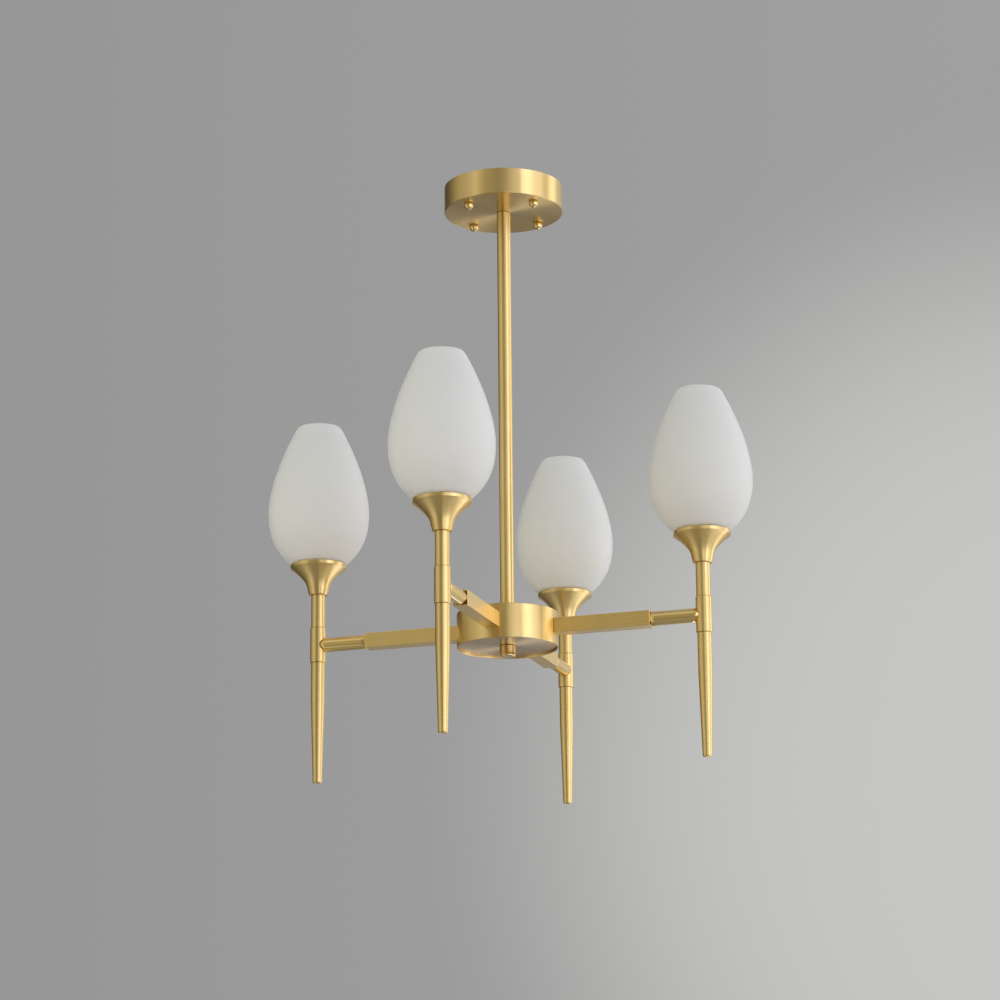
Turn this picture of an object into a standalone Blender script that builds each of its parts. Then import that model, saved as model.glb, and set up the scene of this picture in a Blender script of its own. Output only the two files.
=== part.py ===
"""Four-light ceiling chandelier, modelled as the separate pieces it is put together from.

Run it in Blender 4.5, with blender --background --python part.py or from the text editor.
Metres, +Z up. The origin is where the fitting's axis meets the ceiling, on the top face of the
ceiling bracket. The four arms lie along +X, +Y, -X and -Y, numbered 1 to 4 in that order.
"""

import math

import bmesh
import bpy
from mathutils import Vector

GAP = 0.0003  # left between pieces that touch
SLIP = 0.0003  # radial clearance of a thread or spigot in its hole
BLIND_HOLE_SPARE = 0.001  # depth of a blind hole beyond the thread in it
CUT_OVERRUN = 0.002  # length of a cutter beyond the wall it goes through

# Ceiling bracket: a flat cross with a stud welded near the end of each of its arms.
PLATE_THICKNESS = 0.002
PLATE_SPAN = 0.110
PLATE_WIDTH = 0.018
PLATE_END_WIDTH = 0.013
STUD_RADIUS = 0.002
STUD_CIRCLE_RADIUS = 0.0461
STUD_ANGLE = math.radians(58.5)
STUD_GRIP = 0.004  # length of stud inside a ball nut
SLOT_WIDTH = 0.005
SLOT_LENGTH = 0.014
SLOT_PLACE = 0.026  # slot's centre from the axis
EARTH_SCREW_PLACE = 0.026
EARTH_HEAD_RADIUS = 0.004
EARTH_HEAD_HEIGHT = 0.0025
EARTH_HEAD_EDGE = 0.0008

# Terminal block, under one arm of the bracket.
BLOCK_LENGTH = 0.026
BLOCK_WIDTH = 0.015
BLOCK_HEIGHT = 0.012
BLOCK_EDGE = 0.001
BLOCK_PLACE = 0.027
BLOCK_HOLE_RADIUS = 0.0018
BLOCK_POLES = 3

# Canopy
CANOPY_RADIUS = 0.060
CANOPY_HEIGHT = 0.0266
CANOPY_WALL = 0.0012
CANOPY_EDGE = 0.0011
CEILING_CLEARANCE = 0.0015

# Ball nuts: balls cut flat where they meet the canopy.
BALL_RADIUS = 0.00475
BALL_NUT_HEIGHT = 0.0067
BALL_LAST_ANGLE = -75  # of the outline's last ring, below level
BALL_POINTS = 6

# Hanging rod and the threaded tubes at its two ends.
ROD_RADIUS = 0.0069
ROD_LENGTH = 0.4168
NIPPLE_RADIUS = 0.005
NIPPLE_BORE = 0.0032
NIPPLE_IN_ROD = 0.018
NIPPLE_IN_CANOPY = 0.0075
NIPPLE_IN_FINIAL = 0.0053
NUT_FLATS = 0.017
NUT_HEIGHT = 0.005

# Hub, its cover and the finial nut that carries the cover.
HUB_RADIUS = 0.050
HUB_HEIGHT = 0.034
HUB_WALL = 0.0015
HUB_EDGE = 0.0008
COVER_THICKNESS = 0.002
COVER_RECESS = 0.0019
FINIAL_RADIUS = 0.00785
FINIAL_LENGTH = 0.0103
FINIAL_EDGE = 0.0008

# Arm: a square bar with a threaded tail through the hub's wall, then a round tube.
ARM_BELOW_HUB_TOP = 0.0165
ARM_REACH = 0.1985
BAR_SIDE = 0.015
BAR_END = 0.146  # far end of the bar from the fitting's axis
BAR_EDGE = 0.0006
TAIL_RADIUS = 0.004
TAIL_LENGTH = 0.012
TAIL_BORE = 0.0026
ARM_NUT_FLATS = 0.013
ARM_NUT_HEIGHT = 0.004
TUBE_RADIUS = 0.007
TUBE_SPIGOT_RADIUS = 0.0047
TUBE_SPIGOT_LENGTH = 0.010
TUBE_BORE = 0.003
TUBE_PAST_WALL = 0.001  # length of the tube's far spigot inside the tee sleeve's bore

# Lamp stem: tee sleeve, neck above it and spike below it.
SLEEVE_RADIUS = 0.00786
SLEEVE_LENGTH = 0.0352
SLEEVE_BORE = 0.0056
STEM_SPIGOT_LENGTH = 0.008
NECK_RADIUS = 0.00703
NECK_LENGTH = 0.034
NECK_BORE = 0.0043
SPIKE_LENGTH = 0.1212
SPIKE_RADIUS = 0.0069
SPIKE_TIP_RADIUS = 0.0046
SPIKE_STRAIGHT = 0.038
SPIKE_TIP_EDGE = 0.001

# Cup that carries the lampholder and the glass.
CUP_RADIUS = 0.02805
CUP_LIP = 0.0036
CUP_HEIGHT = 0.0308
CUP_WALL = 0.0012
CUP_FOOT_RADIUS = 0.0092
CUP_LIP_STEP = 0.0004  # from the lip's outer side in to the flare
CUP_SEAT_STEP = 0.0005  # inside, from the lip's end up to the flare's first point
# The flare is a Bezier curve. Each handle is a share of the run across and of the run down.
FLARE_NEAR_LIP = (1.08, 0.57)
FLARE_NEAR_FOOT = (0.19, 0.33)
FLARE_POINTS = 7

# Lampholder, clamp ring and bulb.
HOLDER_RADIUS = 0.011
HOLDER_ABOVE_GLASS = 0.0059
HOLDER_FLANGE = 0.002
HOLDER_BODY_RADIUS = 0.0085
HOLDER_BODY_DEPTH = 0.0185  # lowest point of the body below the cup's rim
HOLDER_TAIL_IN_NECK = 0.008
HOLDER_TAIL_BORE = 0.0025
HOLDER_FLOOR = 0.004  # thickness of the body's floor over the tail's bore
RING_RADIUS = 0.0165
RING_HEIGHT = 0.0045
BULB_BASE_RADIUS = 0.0062
BULB_BASE_LENGTH = 0.012
BULB_SHOULDER = 0.003
BULB_DOME_ANGLE = 60  # of the dome's highest ring, above level
BULB_DOME_POINTS = 3
BULB_SOCKET_DEPTH = 0.010
BULB_RADIUS = 0.008
BULB_LENGTH = 0.054

# Glass shade
SHADE_RADIUS = 0.0508
SHADE_TOP_RADIUS = 0.0222
SHADE_FOOT_RADIUS = 0.019
SHADE_HOLE_RADIUS = 0.0125
SHADE_WALL = 0.0028
SHADE_DEPTH_IN_CUP = 0.0034
SHADE_BELLY_HEIGHT = 0.0555  # widest ring above the cup's rim
SHADE_HEIGHT = 0.1432  # open top above the cup's rim
SHADE_UPPER_POWER = 1.62
SHADE_LOWER_POWERS = (1.6, 0.8)  # of the cosine for the radius, and of the sine for the height
SHADE_FOOT_INSET = 0.4  # share of the wall that the inner side is set in by at the foot
SHADE_POINTS = 4

# Heights of the pieces along the axis, worked out downwards from the ceiling.
CANOPY_TOP = -CEILING_CLEARANCE
CANOPY_BOTTOM = CANOPY_TOP - CANOPY_HEIGHT
ROD_TOP = CANOPY_BOTTOM - GAP
ROD_BOTTOM = ROD_TOP - ROD_LENGTH
HUB_TOP = ROD_BOTTOM - GAP
HUB_BOTTOM = HUB_TOP - HUB_HEIGHT
COVER_BOTTOM = HUB_BOTTOM + COVER_RECESS
FINIAL_TOP = COVER_BOTTOM - GAP
ARM_HEIGHT = HUB_TOP - ARM_BELOW_HUB_TOP
SLEEVE_TOP = ARM_HEIGHT + SLEEVE_LENGTH / 2
CUP_BOTTOM = SLEEVE_TOP + NECK_LENGTH
CUP_RIM = CUP_BOTTOM + CUP_HEIGHT
GLASS_FOOT = CUP_RIM - SHADE_DEPTH_IN_CUP
FLANGE_TOP = GLASS_FOOT - GAP
RING_BOTTOM = GLASS_FOOT + SHADE_WALL + GAP
HOLDER_TOP = FLANGE_TOP + SHADE_WALL + HOLDER_ABOVE_GLASS
BULB_BOTTOM = HOLDER_TOP - BULB_SOCKET_DEPTH + GAP

HUB_SADDLE_STEPS = 64
FINE_STEPS = 32
SHADE_STEPS = 24
ROUND_STEPS = 20
SMALL_STEPS = 12
HOLE_STEPS = 8
SLOT_END_POINTS = 6
SHARP_ANGLE = math.radians(32)
MERGE_DISTANCE = 0.00001
ARM_COUNT = 4
STUD_COUNT = 4


def clear_scene():
    """Remove every object of the open scene."""
    for obj in list(bpy.data.objects):
        bpy.data.objects.remove(obj, do_unlink=True)


def new_collection(name):
    """Add an empty collection to the scene."""
    collection = bpy.data.collections.new(name)
    bpy.context.scene.collection.children.link(collection)
    return collection


def finish(name, colour, roughness, metallic):
    """A plain Principled material."""
    material = bpy.data.materials.new(name)
    material.use_nodes = True
    shader = material.node_tree.nodes["Principled BSDF"]
    shader.inputs["Base Color"].default_value = (*colour, 1.0)
    shader.inputs["Roughness"].default_value = roughness
    shader.inputs["Metallic"].default_value = metallic
    return material


def arc(centre, radius, start, end, count):
    """Points along an arc in the (radius, height) plane, with angles in degrees."""
    angles = [math.radians(start + (end - start) * i / (count - 1)) for i in range(count)]
    return [(centre[0] + radius * math.cos(a), centre[1] + radius * math.sin(a)) for a in angles]


def settle(obj):
    """Replace an object's mesh by the one its modifiers give, shaded smooth between sharp edges."""
    graph = bpy.context.evaluated_depsgraph_get()
    mesh = bpy.data.meshes.new_from_object(obj.evaluated_get(graph))
    obj.modifiers.clear()
    obj.data = mesh
    mesh.shade_smooth()
    mesh.set_sharp_from_angle(angle=SHARP_ANGLE)


def turned(name, outline, material, steps=ROUND_STEPS, ring=False, home=None):
    """Turn an outline of (radius, height) points about Z; it runs down the piece's outer side.

    A ring's outline comes back up its inner side to where it starts. Any other outline
    starts and ends on the axis.
    """
    mesh = bpy.data.meshes.new(name)
    edges = [(i, i + 1) for i in range(len(outline) - 1)]
    if ring:
        edges.append((len(outline) - 1, 0))
    mesh.from_pydata([(radius, 0.0, height) for radius, height in outline], edges, [])
    mesh.materials.append(material)
    obj = bpy.data.objects.new(name, mesh)
    (home or pieces).objects.link(obj)
    screw = obj.modifiers.new("Turn", "SCREW")
    screw.steps = steps
    screw.render_steps = steps
    screw.use_merge_vertices = True
    screw.merge_threshold = MERGE_DISTANCE
    settle(obj)
    return obj


def tube(name, outer, inner, top, bottom, material, steps=ROUND_STEPS):
    """A plain tube between two heights."""
    outline = [(outer, top), (outer, bottom), (inner, bottom), (inner, top)]
    return turned(name, outline, material, steps, ring=True)


def cutting_tool(name, radius, low, high, steps=SMALL_STEPS):
    """A round cutter along its own Z, from one height to another."""
    outline = [(0.0, high), (radius, high), (radius, low), (0.0, low)]
    obj = turned(name, outline, cutter_finish, steps, home=cutters)
    obj.hide_render = True
    obj.display_type = "WIRE"
    return obj


def place(obj, location=(0.0, 0.0, 0.0), turn=(0.0, 0.0, 0.0), parent=None):
    """Set an object's place under its parent."""
    obj.parent = parent
    obj.location = location
    obj.rotation_euler = turn
    return obj


def combine(obj, other, operation="DIFFERENCE"):
    """Cut an object with another, or join the other to it."""
    boolean = obj.modifiers.new(operation.title(), "BOOLEAN")
    boolean.operation = operation
    boolean.object = other


def holder_empty(name, location=(0.0, 0.0, 0.0), angle=0.0, parent=None):
    """An empty that pieces are placed from."""
    empty = bpy.data.objects.new(name, None)
    pieces.objects.link(empty)
    return place(empty, location, (0.0, 0.0, angle), parent)


def hex_nut(name, flats, bore, top, bottom, material):
    """A hexagonal nut between two heights along its own Z, with a round hole through it."""
    corner_radius = flats / 2 / math.cos(math.pi / 6)
    mesh = bpy.data.meshes.new(name)
    shape = bmesh.new()
    bmesh.ops.create_cone(shape, cap_ends=True, segments=6, radius1=corner_radius,
                          radius2=corner_radius, depth=top - bottom)
    bmesh.ops.translate(shape, verts=shape.verts, vec=Vector((0, 0, (top + bottom) / 2)))
    shape.to_mesh(mesh)
    shape.free()
    mesh.materials.append(material)
    obj = bpy.data.objects.new(name, mesh)
    pieces.objects.link(obj)
    hole = cutting_tool(f"{name}_hole", bore, bottom - CUT_OVERRUN, top + CUT_OVERRUN)
    combine(obj, hole)
    return obj, hole


def box(name, size, material, edge):
    """A box centred on its origin, with rounded edges."""
    mesh = bpy.data.meshes.new(name)
    shape = bmesh.new()
    bmesh.ops.create_cube(shape, size=1.0)
    bmesh.ops.scale(shape, verts=shape.verts, vec=Vector(size))
    shape.to_mesh(mesh)
    shape.free()
    mesh.materials.append(material)
    obj = bpy.data.objects.new(name, mesh)
    pieces.objects.link(obj)
    bevel = obj.modifiers.new("Edges", "BEVEL")
    bevel.width = edge
    bevel.segments = 1
    return obj


def flat_plate(name, outlines, thickness, material):
    """A flat plate from closed outlines: the first is its edge and the others are holes."""
    curve = bpy.data.curves.new(name, "CURVE")
    curve.dimensions = "2D"
    curve.fill_mode = "BOTH"
    curve.extrude = thickness / 2
    for outline in outlines:
        spline = curve.splines.new("POLY")
        spline.points.add(len(outline) - 1)
        for point, (x, y) in zip(spline.points, outline):
            point.co = (x, y, 0.0, 1.0)
        spline.use_cyclic_u = True
    guide = bpy.data.objects.new(f"{name}_outline", curve)
    pieces.objects.link(guide)
    graph = bpy.context.evaluated_depsgraph_get()
    mesh = bpy.data.meshes.new_from_object(guide.evaluated_get(graph))
    bpy.data.objects.remove(guide, do_unlink=True)
    shape = bmesh.new()
    shape.from_mesh(mesh)
    bmesh.ops.remove_doubles(shape, verts=shape.verts, dist=MERGE_DISTANCE)
    bmesh.ops.recalc_face_normals(shape, faces=shape.faces)
    shape.to_mesh(mesh)
    shape.free()
    mesh.materials.append(material)
    obj = bpy.data.objects.new(name, mesh)
    pieces.objects.link(obj)
    return obj


def cross_outline(span, width, end_width):
    """Corners of a flat cross with four equal arms, which narrow towards their ends."""
    corners = []
    ends = ((span / 2, -end_width / 2), (span / 2, end_width / 2), (width / 2, width / 2))
    for quarter in range(4):
        angle = quarter * math.pi / 2
        along = Vector((math.cos(angle), math.sin(angle)))
        across = Vector((-math.sin(angle), math.cos(angle)))
        for reach, side in ends:
            corners.append(tuple(along * reach + across * side))
    return corners


def slot_outline(centre, angle, length, width):
    """A slot with round ends, its centre at a distance from the origin along an angle."""
    along = Vector((math.cos(angle), math.sin(angle)))
    points = []
    for end, first in ((1, -90), (-1, 90)):
        middle = along * (centre + end * (length - width) / 2)
        for i in range(SLOT_END_POINTS):
            turn = angle + math.radians(first + 180 * i / (SLOT_END_POINTS - 1))
            points.append((middle.x + width / 2 * math.cos(turn), middle.y + width / 2 * math.sin(turn)))
    return points


def circle_outline(centre, angle, radius):
    """A round hole's outline, its centre at a distance from the origin along an angle."""
    x, y, _ = polar(centre, angle)
    turns = [2 * math.pi * i / HOLE_STEPS for i in range(HOLE_STEPS)]
    return [(x + radius * math.cos(turn), y + radius * math.sin(turn)) for turn in turns]


def polar(radius, angle, height=0.0):
    """A point at a distance and angle from the Z axis."""
    return (radius * math.cos(angle), radius * math.sin(angle), height)


def stud_angle(index):
    """Angle of a stud, and of the bracket arm that carries it."""
    return STUD_ANGLE + index * math.pi / 2


# ---------------------------------------------------------------- canopy group


def build_bracket():
    """Steel cross with slots for the ceiling screws, a tapped earth hole and four welded studs."""
    slots = [slot_outline(SLOT_PLACE, i * math.pi / 2, SLOT_LENGTH, SLOT_WIDTH) for i in (1, 3)]
    earth_hole = circle_outline(EARTH_SCREW_PLACE, math.pi, STUD_RADIUS + SLIP)
    outlines = [cross_outline(PLATE_SPAN, PLATE_WIDTH, PLATE_END_WIDTH), *slots, earth_hole]
    bracket = flat_plate("ceiling_bracket", outlines, PLATE_THICKNESS, zinc)
    place(bracket, (0.0, 0.0, -PLATE_THICKNESS / 2), (0.0, 0.0, STUD_ANGLE))
    stud_end = CANOPY_BOTTOM - GAP - STUD_GRIP
    for index in range(STUD_COUNT):
        stud = cutting_tool(f"stud_{index + 1}", STUD_RADIUS, stud_end, -PLATE_THICKNESS / 2)
        place(stud, polar(STUD_CIRCLE_RADIUS, stud_angle(index)))
        combine(bracket, stud, "UNION")


def build_earth_screw():
    """Pan-head screw in the bracket's earth hole."""
    head_top = -PLATE_THICKNESS - GAP
    head_bottom = head_top - EARTH_HEAD_HEIGHT
    outline = [(0.0, -GAP), (STUD_RADIUS, -GAP), (STUD_RADIUS, head_top),
               (EARTH_HEAD_RADIUS, head_top), (EARTH_HEAD_RADIUS, head_bottom + EARTH_HEAD_EDGE),
               (EARTH_HEAD_RADIUS - EARTH_HEAD_EDGE, head_bottom), (0.0, head_bottom)]
    screw = turned("earth_screw", outline, brass_polished, SMALL_STEPS)
    place(screw, polar(EARTH_SCREW_PLACE, stud_angle(2)))


def build_terminal_block():
    """Three-pole connector block, with a wire hole through it for each pole."""
    block = box("terminal_block", (BLOCK_LENGTH, BLOCK_WIDTH, BLOCK_HEIGHT), nylon, BLOCK_EDGE)
    height = -PLATE_THICKNESS - GAP - BLOCK_HEIGHT / 2
    place(block, polar(BLOCK_PLACE, STUD_ANGLE, height), (0.0, 0.0, STUD_ANGLE))
    for index in range(BLOCK_POLES):
        hole = cutting_tool(f"pole_{index + 1}_hole", BLOCK_HOLE_RADIUS, -BLOCK_WIDTH, BLOCK_WIDTH,
                            HOLE_STEPS)
        along = (index - (BLOCK_POLES - 1) / 2) * BLOCK_LENGTH / BLOCK_POLES
        place(hole, (along, 0.0, 0.0), (math.pi / 2, 0.0, 0.0), block)
        combine(block, hole)


def build_canopy():
    """Spun brass drum, open to the ceiling, with a nipple hole and four stud holes in its floor."""
    hole = NIPPLE_RADIUS + SLIP
    outline = [(CANOPY_RADIUS, CANOPY_TOP), (CANOPY_RADIUS, CANOPY_BOTTOM + CANOPY_EDGE),
               (CANOPY_RADIUS - CANOPY_EDGE, CANOPY_BOTTOM), (hole, CANOPY_BOTTOM),
               (hole, CANOPY_BOTTOM + CANOPY_WALL),
               (CANOPY_RADIUS - CANOPY_WALL, CANOPY_BOTTOM + CANOPY_WALL),
               (CANOPY_RADIUS - CANOPY_WALL, CANOPY_TOP)]
    canopy = turned("canopy", outline, brass_brushed, FINE_STEPS, ring=True)
    for index in range(STUD_COUNT):
        drill = cutting_tool(f"stud_{index + 1}_hole", STUD_RADIUS + SLIP,
                             CANOPY_BOTTOM - CUT_OVERRUN, CANOPY_BOTTOM + CANOPY_WALL + CUT_OVERRUN)
        place(drill, polar(STUD_CIRCLE_RADIUS, stud_angle(index)))
        combine(canopy, drill)


def build_ball_nuts():
    """Polished ball nuts, each with a blind threaded hole, that clamp the canopy's floor."""
    centre = BALL_RADIUS - BALL_NUT_HEIGHT
    hole = STUD_RADIUS + SLIP
    hole_end = -STUD_GRIP - BLIND_HOLE_SPARE
    flat_angle = math.degrees(math.asin(-centre / BALL_RADIUS))
    outline = [(0.0, hole_end), (hole, hole_end), (hole, 0.0)]
    outline += arc((0.0, centre), BALL_RADIUS, flat_angle, BALL_LAST_ANGLE, BALL_POINTS)
    outline.append((0.0, -BALL_NUT_HEIGHT))
    for index in range(STUD_COUNT):
        nut = turned(f"ball_nut_{index + 1}", outline, brass_polished, SMALL_STEPS)
        place(nut, polar(STUD_CIRCLE_RADIUS, stud_angle(index), CANOPY_BOTTOM - GAP))


def build_rod():
    """Hanging rod, with the threaded nipple and nut that hold it in the canopy's floor."""
    tube("hanging_rod", ROD_RADIUS, NIPPLE_RADIUS + SLIP, ROD_TOP, ROD_BOTTOM, brass_brushed)
    floor = CANOPY_BOTTOM + CANOPY_WALL
    tube("rod_nipple", NIPPLE_RADIUS, NIPPLE_BORE, floor + NIPPLE_IN_CANOPY,
         ROD_TOP - NIPPLE_IN_ROD, zinc, SMALL_STEPS)
    hex_nut("rod_nut", NUT_FLATS, NIPPLE_RADIUS + SLIP, floor + GAP + NUT_HEIGHT, floor + GAP, zinc)


# ------------------------------------------------------------------- hub group


def build_hub():
    """Brass drum, open below, drilled for the nipple and for the four arms."""
    hole = NIPPLE_RADIUS + SLIP
    outline = [(hole, HUB_TOP), (HUB_RADIUS - HUB_EDGE, HUB_TOP), (HUB_RADIUS, HUB_TOP - HUB_EDGE),
               (HUB_RADIUS, HUB_BOTTOM + HUB_EDGE), (HUB_RADIUS - HUB_EDGE, HUB_BOTTOM),
               (HUB_RADIUS - HUB_WALL, HUB_BOTTOM), (HUB_RADIUS - HUB_WALL, HUB_TOP - HUB_WALL),
               (hole, HUB_TOP - HUB_WALL)]
    hub = turned("hub_shell", outline, brass_brushed, FINE_STEPS, ring=True)
    for index in range(ARM_COUNT):
        drill = cutting_tool(f"arm_{index + 1}_hole", TAIL_RADIUS + SLIP,
                             HUB_RADIUS - HUB_WALL - CUT_OVERRUN, HUB_RADIUS + CUT_OVERRUN)
        place(drill, (0.0, 0.0, ARM_HEIGHT), (0.0, math.pi / 2, index * math.pi / 2))
        combine(hub, drill)


def build_hub_fixings():
    """Nipple through the hub, its lock nut, the recessed cover and the finial nut."""
    tube("hub_nipple", NIPPLE_RADIUS, NIPPLE_BORE, ROD_BOTTOM + NIPPLE_IN_ROD,
         FINIAL_TOP - NIPPLE_IN_FINIAL, zinc, SMALL_STEPS)
    nut_top = HUB_TOP - HUB_WALL - GAP
    hex_nut("hub_lock_nut", NUT_FLATS, NIPPLE_RADIUS + SLIP, nut_top, nut_top - NUT_HEIGHT, zinc)
    hole = NIPPLE_RADIUS + SLIP
    tube("hub_cover", HUB_RADIUS - HUB_WALL - GAP, hole, COVER_BOTTOM + COVER_THICKNESS,
         COVER_BOTTOM, brass_brushed, FINE_STEPS)
    hole_end = -NIPPLE_IN_FINIAL - BLIND_HOLE_SPARE
    outline = [(0.0, hole_end), (hole, hole_end), (hole, 0.0), (FINIAL_RADIUS, 0.0),
               (FINIAL_RADIUS, FINIAL_EDGE - FINIAL_LENGTH),
               (FINIAL_RADIUS - FINIAL_EDGE, -FINIAL_LENGTH), (0.0, -FINIAL_LENGTH)]
    finial = turned("finial_nut", outline, brass_polished, ROUND_STEPS)
    place(finial, (0.0, 0.0, FINIAL_TOP))


# ------------------------------------------------------------------- arm group


def build_arm(number, arm):
    """Square bar with its threaded tail and nut, and the round tube that runs on to the stem.

    The arm's empty sits on the fitting's axis at the arm's height, with +X along the arm.
    """
    sideways = (0.0, math.pi / 2, 0.0)
    hub_outside = HUB_RADIUS + GAP
    bar_start = HUB_RADIUS - TAIL_LENGTH
    length = BAR_END - bar_start
    bar = box(f"arm_bar_{number}", (length, BAR_SIDE, BAR_SIDE), brass_brushed, BAR_EDGE)
    place(bar, ((bar_start + BAR_END) / 2, 0.0, 0.0), parent=arm)
    saddle = cutting_tool(f"hub_saddle_{number}", hub_outside, -BAR_SIDE, BAR_SIDE,
                          HUB_SADDLE_STEPS)
    place(saddle, parent=arm)
    tail = cutting_tool(f"tail_core_{number}", TAIL_RADIUS, 0.0, hub_outside + CUT_OVERRUN)
    place(tail, turn=sideways, parent=arm)
    # The saddle cuts the bar to the hub's wall. The hole in the saddle leaves the tail whole.
    combine(saddle, tail)
    combine(bar, saddle)
    socket = BAR_END - TUBE_SPIGOT_LENGTH - GAP
    bore_outline = [(0.0, BAR_END + CUT_OVERRUN), (TUBE_SPIGOT_RADIUS + SLIP, BAR_END + CUT_OVERRUN),
                    (TUBE_SPIGOT_RADIUS + SLIP, socket), (TAIL_BORE, socket),
                    (TAIL_BORE, bar_start - CUT_OVERRUN), (0.0, bar_start - CUT_OVERRUN)]
    bore = turned(f"bar_bore_{number}", bore_outline, cutter_finish, SMALL_STEPS, home=cutters)
    bore.hide_render = True
    bore.display_type = "WIRE"
    place(bore, turn=sideways, parent=arm)
    combine(bar, bore)

    inner_wall = HUB_RADIUS - HUB_WALL
    nut_corner = ARM_NUT_FLATS / 2 / math.cos(math.pi / 6)
    nut_face = math.sqrt(inner_wall**2 - nut_corner**2) - GAP
    nut, hole = hex_nut(f"arm_nut_{number}", ARM_NUT_FLATS, TAIL_RADIUS + SLIP, nut_face,
                        nut_face - ARM_NUT_HEIGHT, zinc)
    place(nut, turn=sideways, parent=arm)
    place(hole, turn=sideways, parent=arm)

    spigot_end = ARM_REACH - SLEEVE_BORE + TUBE_PAST_WALL
    shoulder = BAR_END + GAP
    outline = [(TUBE_RADIUS, spigot_end), (TUBE_RADIUS, shoulder), (TUBE_SPIGOT_RADIUS, shoulder),
               (TUBE_SPIGOT_RADIUS, BAR_END - TUBE_SPIGOT_LENGTH),
               (TUBE_BORE, BAR_END - TUBE_SPIGOT_LENGTH), (TUBE_BORE, spigot_end)]
    arm_tube = turned(f"arm_tube_{number}", outline, brass_brushed, ROUND_STEPS, ring=True)
    place(arm_tube, turn=sideways, parent=arm)
    saddle = cutting_tool(f"stem_saddle_{number}", SLEEVE_RADIUS + GAP, -2 * TUBE_RADIUS,
                          2 * TUBE_RADIUS, FINE_STEPS)
    place(saddle, (ARM_REACH, 0.0, 0.0), parent=arm)
    core_reach = SLEEVE_RADIUS + GAP + CUT_OVERRUN
    core = cutting_tool(f"tube_core_{number}", TUBE_SPIGOT_RADIUS, ARM_REACH - core_reach,
                        ARM_REACH + core_reach)
    place(core, turn=sideways, parent=arm)
    # This saddle cuts the tube to the sleeve's wall, and the hole in it leaves the spigot whole.
    combine(saddle, core)
    combine(arm_tube, saddle)


# ------------------------------------------------------------------ stem group


def build_stem(number, stem):
    """Tee sleeve with a side hole for the arm's tube, the neck above it and the spike below it.

    The stem's empty sits on the lamp's axis at the height of the arm.
    """
    half = SLEEVE_LENGTH / 2
    sleeve = tube(f"tee_sleeve_{number}", SLEEVE_RADIUS, SLEEVE_BORE, half, -half, brass_brushed)
    place(sleeve, parent=stem)
    drill = cutting_tool(f"side_hole_{number}", TUBE_SPIGOT_RADIUS + SLIP, -2 * SLEEVE_RADIUS, 0.0)
    place(drill, turn=(0.0, math.pi / 2, 0.0), parent=stem)
    combine(sleeve, drill)

    spigot = SLEEVE_BORE - SLIP
    neck_top = half + NECK_LENGTH - GAP
    outline = [(NECK_RADIUS, neck_top), (NECK_RADIUS, half + GAP), (spigot, half + GAP),
               (spigot, half - STEM_SPIGOT_LENGTH), (NECK_BORE, half - STEM_SPIGOT_LENGTH),
               (NECK_BORE, neck_top)]
    neck = turned(f"neck_tube_{number}", outline, brass_brushed, SMALL_STEPS, ring=True)
    place(neck, parent=stem)

    tip = -half - SPIKE_LENGTH
    taper_start = -half - SPIKE_STRAIGHT
    outline = [(0.0, STEM_SPIGOT_LENGTH - half), (spigot, STEM_SPIGOT_LENGTH - half),
               (spigot, -half - GAP), (SPIKE_RADIUS, -half - GAP), (SPIKE_RADIUS, taper_start),
               (SPIKE_TIP_RADIUS, tip + SPIKE_TIP_EDGE),
               (SPIKE_TIP_RADIUS - SPIKE_TIP_EDGE, tip), (0.0, tip)]
    spike = turned(f"spike_{number}", outline, brass_brushed, SMALL_STEPS)
    place(spike, parent=stem)


def cup_outside():
    """Outer side of the cup below its lip: a Bezier curve that flares out of the stem.

    Points are (radius, depth below the rim).
    """
    lip = Vector((CUP_RADIUS - CUP_LIP_STEP, CUP_LIP))
    foot = Vector((CUP_FOOT_RADIUS, CUP_HEIGHT))
    reach = lip - foot
    near_lip = lip - reach * Vector(FLARE_NEAR_LIP)
    near_foot = foot + reach * Vector(FLARE_NEAR_FOOT)
    points = []
    for i in range(FLARE_POINTS):
        t = i / (FLARE_POINTS - 1)
        s = 1 - t
        points.append(s**3 * lip + 3 * s * s * t * near_lip + 3 * s * t * t * near_foot + t**3 * foot)
    return points


def cup_inside(outside):
    """Inner side of the cup: the outer side moved inwards by the wall, square to the curve."""
    inside = []
    for before, after in zip(outside, outside[1:]):
        along = (after - before).normalized()
        middle = (before + after) / 2
        inside.append(middle + Vector((-along.y, along.x)) * CUP_WALL)
    return inside


def radius_at(line, depth):
    """Radius of a line of (radius, depth) points at a depth."""
    for above, below in zip(line, line[1:]):
        if above.y <= depth <= below.y:
            share = (depth - above.y) / (below.y - above.y)
            return above.x + (below.x - above.x) * share
    return line[-1].x


def build_cup(number, lamp):
    """Flared brass cup. The lamp's empty sits on the lamp's axis at the height of the cup's rim."""
    outside = cup_outside()
    inside = [p for p in cup_inside(outside) if p.y < CUP_HEIGHT - CUP_WALL]
    lip_inner = CUP_RADIUS - CUP_WALL
    hole = NECK_BORE
    outline = [(CUP_RADIUS, 0.0), *[(p.x, -p.y) for p in outside]]
    outline += [(hole, -CUP_HEIGHT), (hole, CUP_WALL - CUP_HEIGHT),
                (inside[-1].x, CUP_WALL - CUP_HEIGHT)]
    outline += [(p.x, -p.y) for p in reversed(inside)]
    outline += [(lip_inner, CUP_SEAT_STEP - CUP_LIP), (lip_inner, 0.0)]
    cup = turned(f"cup_{number}", outline, brass_brushed, ROUND_STEPS, ring=True)
    place(cup, parent=lamp)
    return inside


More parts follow.
